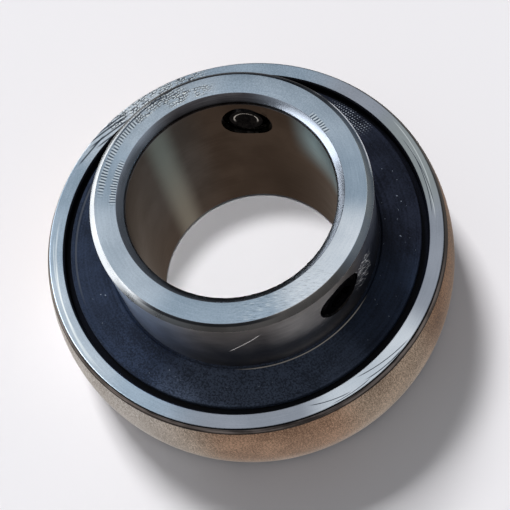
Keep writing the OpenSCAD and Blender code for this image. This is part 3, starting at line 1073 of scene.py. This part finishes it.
def seal_rubber():
    """The seals' rubber: matt black, faintly speckled."""
    p = Paint("seal_rubber", RUBBER)
    speck = p.noise(p.place, 5.0, 3, 0.7)
    colour = p.shades(speck, (0.001, 0.0015, 0.003), (0.006, 0.007, 0.012), 0.35, 0.7)
    return p.finish(colour, p.rough(speck, 0.5, 0.7), height=speck, depth=0.02)


def floor_paint():
    """The floor: pale and plain; where metal mirrors it, it is black and glows instead with a painted
    reflection colour, warm close to the part and dark farther off.
    """
    p = Paint("floor_paint", DULL)
    cloud = p.noise(p.place, 0.01, 2)
    colour = p.mix(cloud, (0.83, 0.815, 0.84), (0.86, 0.845, 0.87))
    # Painted reflection: in gloss the floor glows with these colours instead of its own
    glossy = p.node("LightPath", {}, {}, "Is Glossy Ray")
    mirrored_floor = p.mix(p.ramp(p.r, NEAR_FLOOR_R, FAR_FLOOR_R), FLOOR_IN_METAL, FAR_FLOOR_IN_METAL)
    return p.finish(p.mix(glossy, colour, BLACK), glow=p.mix(glossy, BLACK, mirrored_floor))


# Which paint goes where

def in_a_hole(x, y, z):
    """True for a place, in millimetres, inside a set screw's hole or its thread."""
    for turn in SCREW_TURNS.values():
        away = direction(turn, 0)
        across = math.hypot(x * away.y - y * away.x, z - SCREW_Z)
        if x * away.x + y * away.y > 0 and across < HOLE_R + THREAD_DEEP + TOUCH:
            return True
    return False


def outer_part(r, z, outward, up):
    """The part of the outer ring that a face lies on, from its centre and its normal."""
    z = abs(z)
    seat_top = HALF_W - CORNER_H - TOUCH
    if outward < UPRIGHT and MOUTH_R - BESIDE < r < MOUTH_R + MOUTH_EDGE and z > SEAL_TOP + BESIDE:
        return "recess"
    if abs(up) > NEARLY_LEVEL and z > HALF_W - SKIN:
        return "ground"
    if outward > LEANING and z < seat_top:
        return "seat"
    if outward > 0 and z >= seat_top:
        return "corner"
    return "track"


def inner_part(r, z, outward, up):
    """The part of the inner ring that a face lies on, from its centre and its normal."""
    if abs(up) > LEVEL and (z > LONG_LEN - NEAR or z < NEAR - SHORT_LEN):
        return "ground"
    if z > LONG_LEN - BORE_EDGE_H - TOUCH and r < BORE_R + BORE_EDGE_IN + NEAR:
        return "mouth"
    if z > LONG_LEN - NOSE_EDGE - TOUCH and r > INNER_R - NOSE_EDGE - NEAR:
        return "nose"
    if z < FOOT_EDGE_H - SHORT_LEN + TOUCH:
        return "nose"
    if outward < -UPRIGHT and r < BORE_R + BESIDE:
        return "bore"
    if outward > UPRIGHT and z > WALL_LOW and r > INNER_R - SKIN:
        return "wall"
    return "track"


def coat(piece, paints, part_of):
    """Gives each face the paint of the part that it lies on, by its centre's (radius, height) and its
    slope, or the holes' paint where it lies in a hole and isn't part of the wall or the bore."""
    names = list(paints)
    piece.data.materials.clear()
    for name in names:
        piece.data.materials.append(paints[name])
    for face in piece.data.polygons:
        r = math.hypot(face.center.x, face.center.y)
        outward = (face.normal.x * face.center.x + face.normal.y * face.center.y) / r
        name = part_of(r / MM, face.center.z / MM, outward, face.normal.z)
        if "hole" in names and abs(outward) < UPRIGHT and in_a_hole(*(face.center / MM)):
            name = "hole"
        face.material_index = names.index(name)


# The dressed object

def dress_rings():
    """Both rings, each with its own paint on every part of it."""
    ground = ground_steel()
    track = track_steel()
    outer = outer_ring()
    outer_paints = {
        "ground": ground, "corner": corner_steel(), "recess": recess_painted_shade(), "seat": seat_steel(),
        "track": track,
    }
    coat(outer, outer_paints, outer_part)
    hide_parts("outer_ring")
    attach(outer, "outer")
    inner = inner_ring()
    inner_paints = {
        "ground": ground, "nose": nose_steel(), "mouth": mouth_steel(), "wall": wall_steel(),
        "bore": bore_steel(), "track": track, "hole": hole_painted_shade(),
    }
    coat(inner, inner_paints, inner_part)
    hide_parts("inner_ring")
    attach(inner, "inner")


def dress_flingers():
    """The rubber of both flingers."""
    rubber = flinger_rubber()
    for name, side in (("upper", 1), ("lower", -1)):
        cover = flinger(f"flinger_rubber_{name}_dressed", side)
        cover.data.materials.append(rubber)
        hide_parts(f"flinger_rubber_{name}")
        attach(cover, "inner")


def dress_screws():
    """Both set screws, copied from one and moved to their holes."""
    pattern = set_screw()
    for name, turn in SCREW_TURNS.items():
        screw = copy_of(pattern, f"set_screw_{name}_dressed")
        screw.data.materials.append(screw_steel(name, turn))
        move(screw, radial(turn, SCREW_Z) @ Matrix.Translation((0, 0, SCREW_TIP * MM)))
        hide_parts(f"set_screw_{name}")
        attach(screw, f"screw_{name}")
    bpy.data.objects.remove(pattern)


def paint_inside():
    """Paints the solids that stay: each takes the first material whose name its own starts with."""
    inside = {
        "seal_shell": sheet_steel("shell_steel", (0.42, 0.42, 0.43), (0.60, 0.60, 0.61)),
        "seal_rubber": seal_rubber(),
        "flinger_plate": sheet_steel("plate_steel", (0.45, 0.45, 0.46), (0.62, 0.62, 0.63)),
        "cage_rivets": sheet_steel("rivet_steel", (0.38, 0.38, 0.38), (0.55, 0.55, 0.55)),
        "cage": sheet_steel("cage_steel", (0.42, 0.39, 0.35), (0.60, 0.56, 0.50)),
        "ball": ball_steel(),
    }
    for name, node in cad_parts.items():
        for start, material in inside.items():
            if name.startswith(start) and not node.hide_render:
                for place in node.material_slots:
                    place.material = material
                break


# Floor and lights

def add_floor():
    """The floor that the part stands on."""
    deselect()
    bpy.ops.mesh.primitive_plane_add(size=FLOOR_SIZE, location=(0, 0, CAD_LOW.z))
    floor = added("floor")
    floor.data.materials.append(floor_paint())
    return floor


def softbox(name, azimuth, elevation, distance, width, height, watts):
    """An area light that faces the middle of the part. Lengths are in metres."""
    data = bpy.data.lights.new(name, "AREA")
    data.shape = "RECTANGLE"
    data.size = width
    data.size_y = height
    data.energy = watts
    lamp = bpy.data.objects.new(name, data)
    bpy.context.scene.collection.objects.link(lamp)
    back = direction(azimuth, elevation)
    lamp.matrix_world = Matrix.Translation(back * distance) @ looking_back(back)
    return lamp


def add_cards():
    """Softboxes that show in gloss alone, so they brighten the metal and hardly anything else."""
    for name, settings in CARDS.items():
        lamp = softbox(name, *settings)
        lamp.visible_diffuse = False
        lamp.visible_camera = False


def add_bore_lamp(name, elevation, watts, floor):
    """A narrow lamp down the bore, which lights only the floor that shows through it."""
    data = bpy.data.lights.new(name, "SPOT")
    data.energy = watts
    data.shadow_soft_size = BORE_LAMP_SIZE
    data.spot_size = 2 * math.atan((BORE_R * MM + BORE_LAMP_SIZE) / BORE_LAMP_HEIGHT)
    data.spot_blend = BORE_LAMP_EDGE
    lamp = bpy.data.objects.new(name, data)
    bpy.context.scene.collection.objects.link(lamp)
    back = direction(KEY_AZIMUTH, elevation)
    foot = Vector((0, 0, CAD_LOW.z))
    lamp.matrix_world = Matrix.Translation(foot + back * BORE_LAMP_HEIGHT) @ looking_back(back)
    lamp.visible_glossy = False
    lit = bpy.data.collections.new(name)
    lit.objects.link(floor)
    lamp.light_linking.receiver_collection = lit


def add_sky():
    """A plain pale studio: dim where it lights the floor, so that the shadow shows, and in metal
    pale overhead and dark low down."""
    world = bpy.data.worlds.new("studio")
    bpy.context.scene.world = world
    world.use_nodes = True
    tree = world.node_tree
    place = tree.nodes.new("ShaderNodeTexCoord")
    axes = tree.nodes.new("ShaderNodeSeparateXYZ")
    tree.links.new(place.outputs["Generated"], axes.inputs["Vector"])
    metal = tree.nodes.new("ShaderNodeMapRange")
    metal.interpolation_type = "SMOOTHSTEP"
    metal.inputs["From Min"].default_value = math.sin(math.radians(SKY_LOW_ENDS))
    metal.inputs["From Max"].default_value = math.sin(math.radians(SKY_HIGH_STARTS))
    metal.inputs["To Min"].default_value = SKY_LOW
    metal.inputs["To Max"].default_value = SKY_HIGH
    tree.links.new(axes.outputs["Z"], metal.inputs["Value"])
    rays = tree.nodes.new("ShaderNodeLightPath")
    strength = metal.outputs["Result"]
    for ray, value in (("Is Diffuse Ray", SKY_ON_FLOOR), ("Is Camera Ray", SKY_SEEN)):
        switch = tree.nodes.new("ShaderNodeMix")
        tree.links.new(rays.outputs[ray], switch.inputs["Factor"])
        tree.links.new(strength, switch.inputs["A"])
        switch.inputs["B"].default_value = value
        strength = switch.outputs["Result"]
    background = tree.nodes["Background"]
    background.inputs["Color"].default_value = SKY_TINT
    tree.links.new(strength, background.inputs["Strength"])


def add_lights(floor):
    """The sky, the key light, the lamps down the bore and the cards."""
    add_sky()
    key = softbox("key", KEY_AZIMUTH, KEY_ELEVATION, KEY_DISTANCE, KEY_SIZE, KEY_SIZE, KEY_WATTS)
    key.visible_glossy = False
    for name, (elevation, watts) in BORE_LAMPS.items():
        add_bore_lamp(name, elevation, watts, floor)
    add_cards()
    bpy.context.scene.view_settings.view_transform = "Standard"


add_camera()
dress_rings()
dress_flingers()
dress_screws()
paint_inside()
add_lights(add_floor())
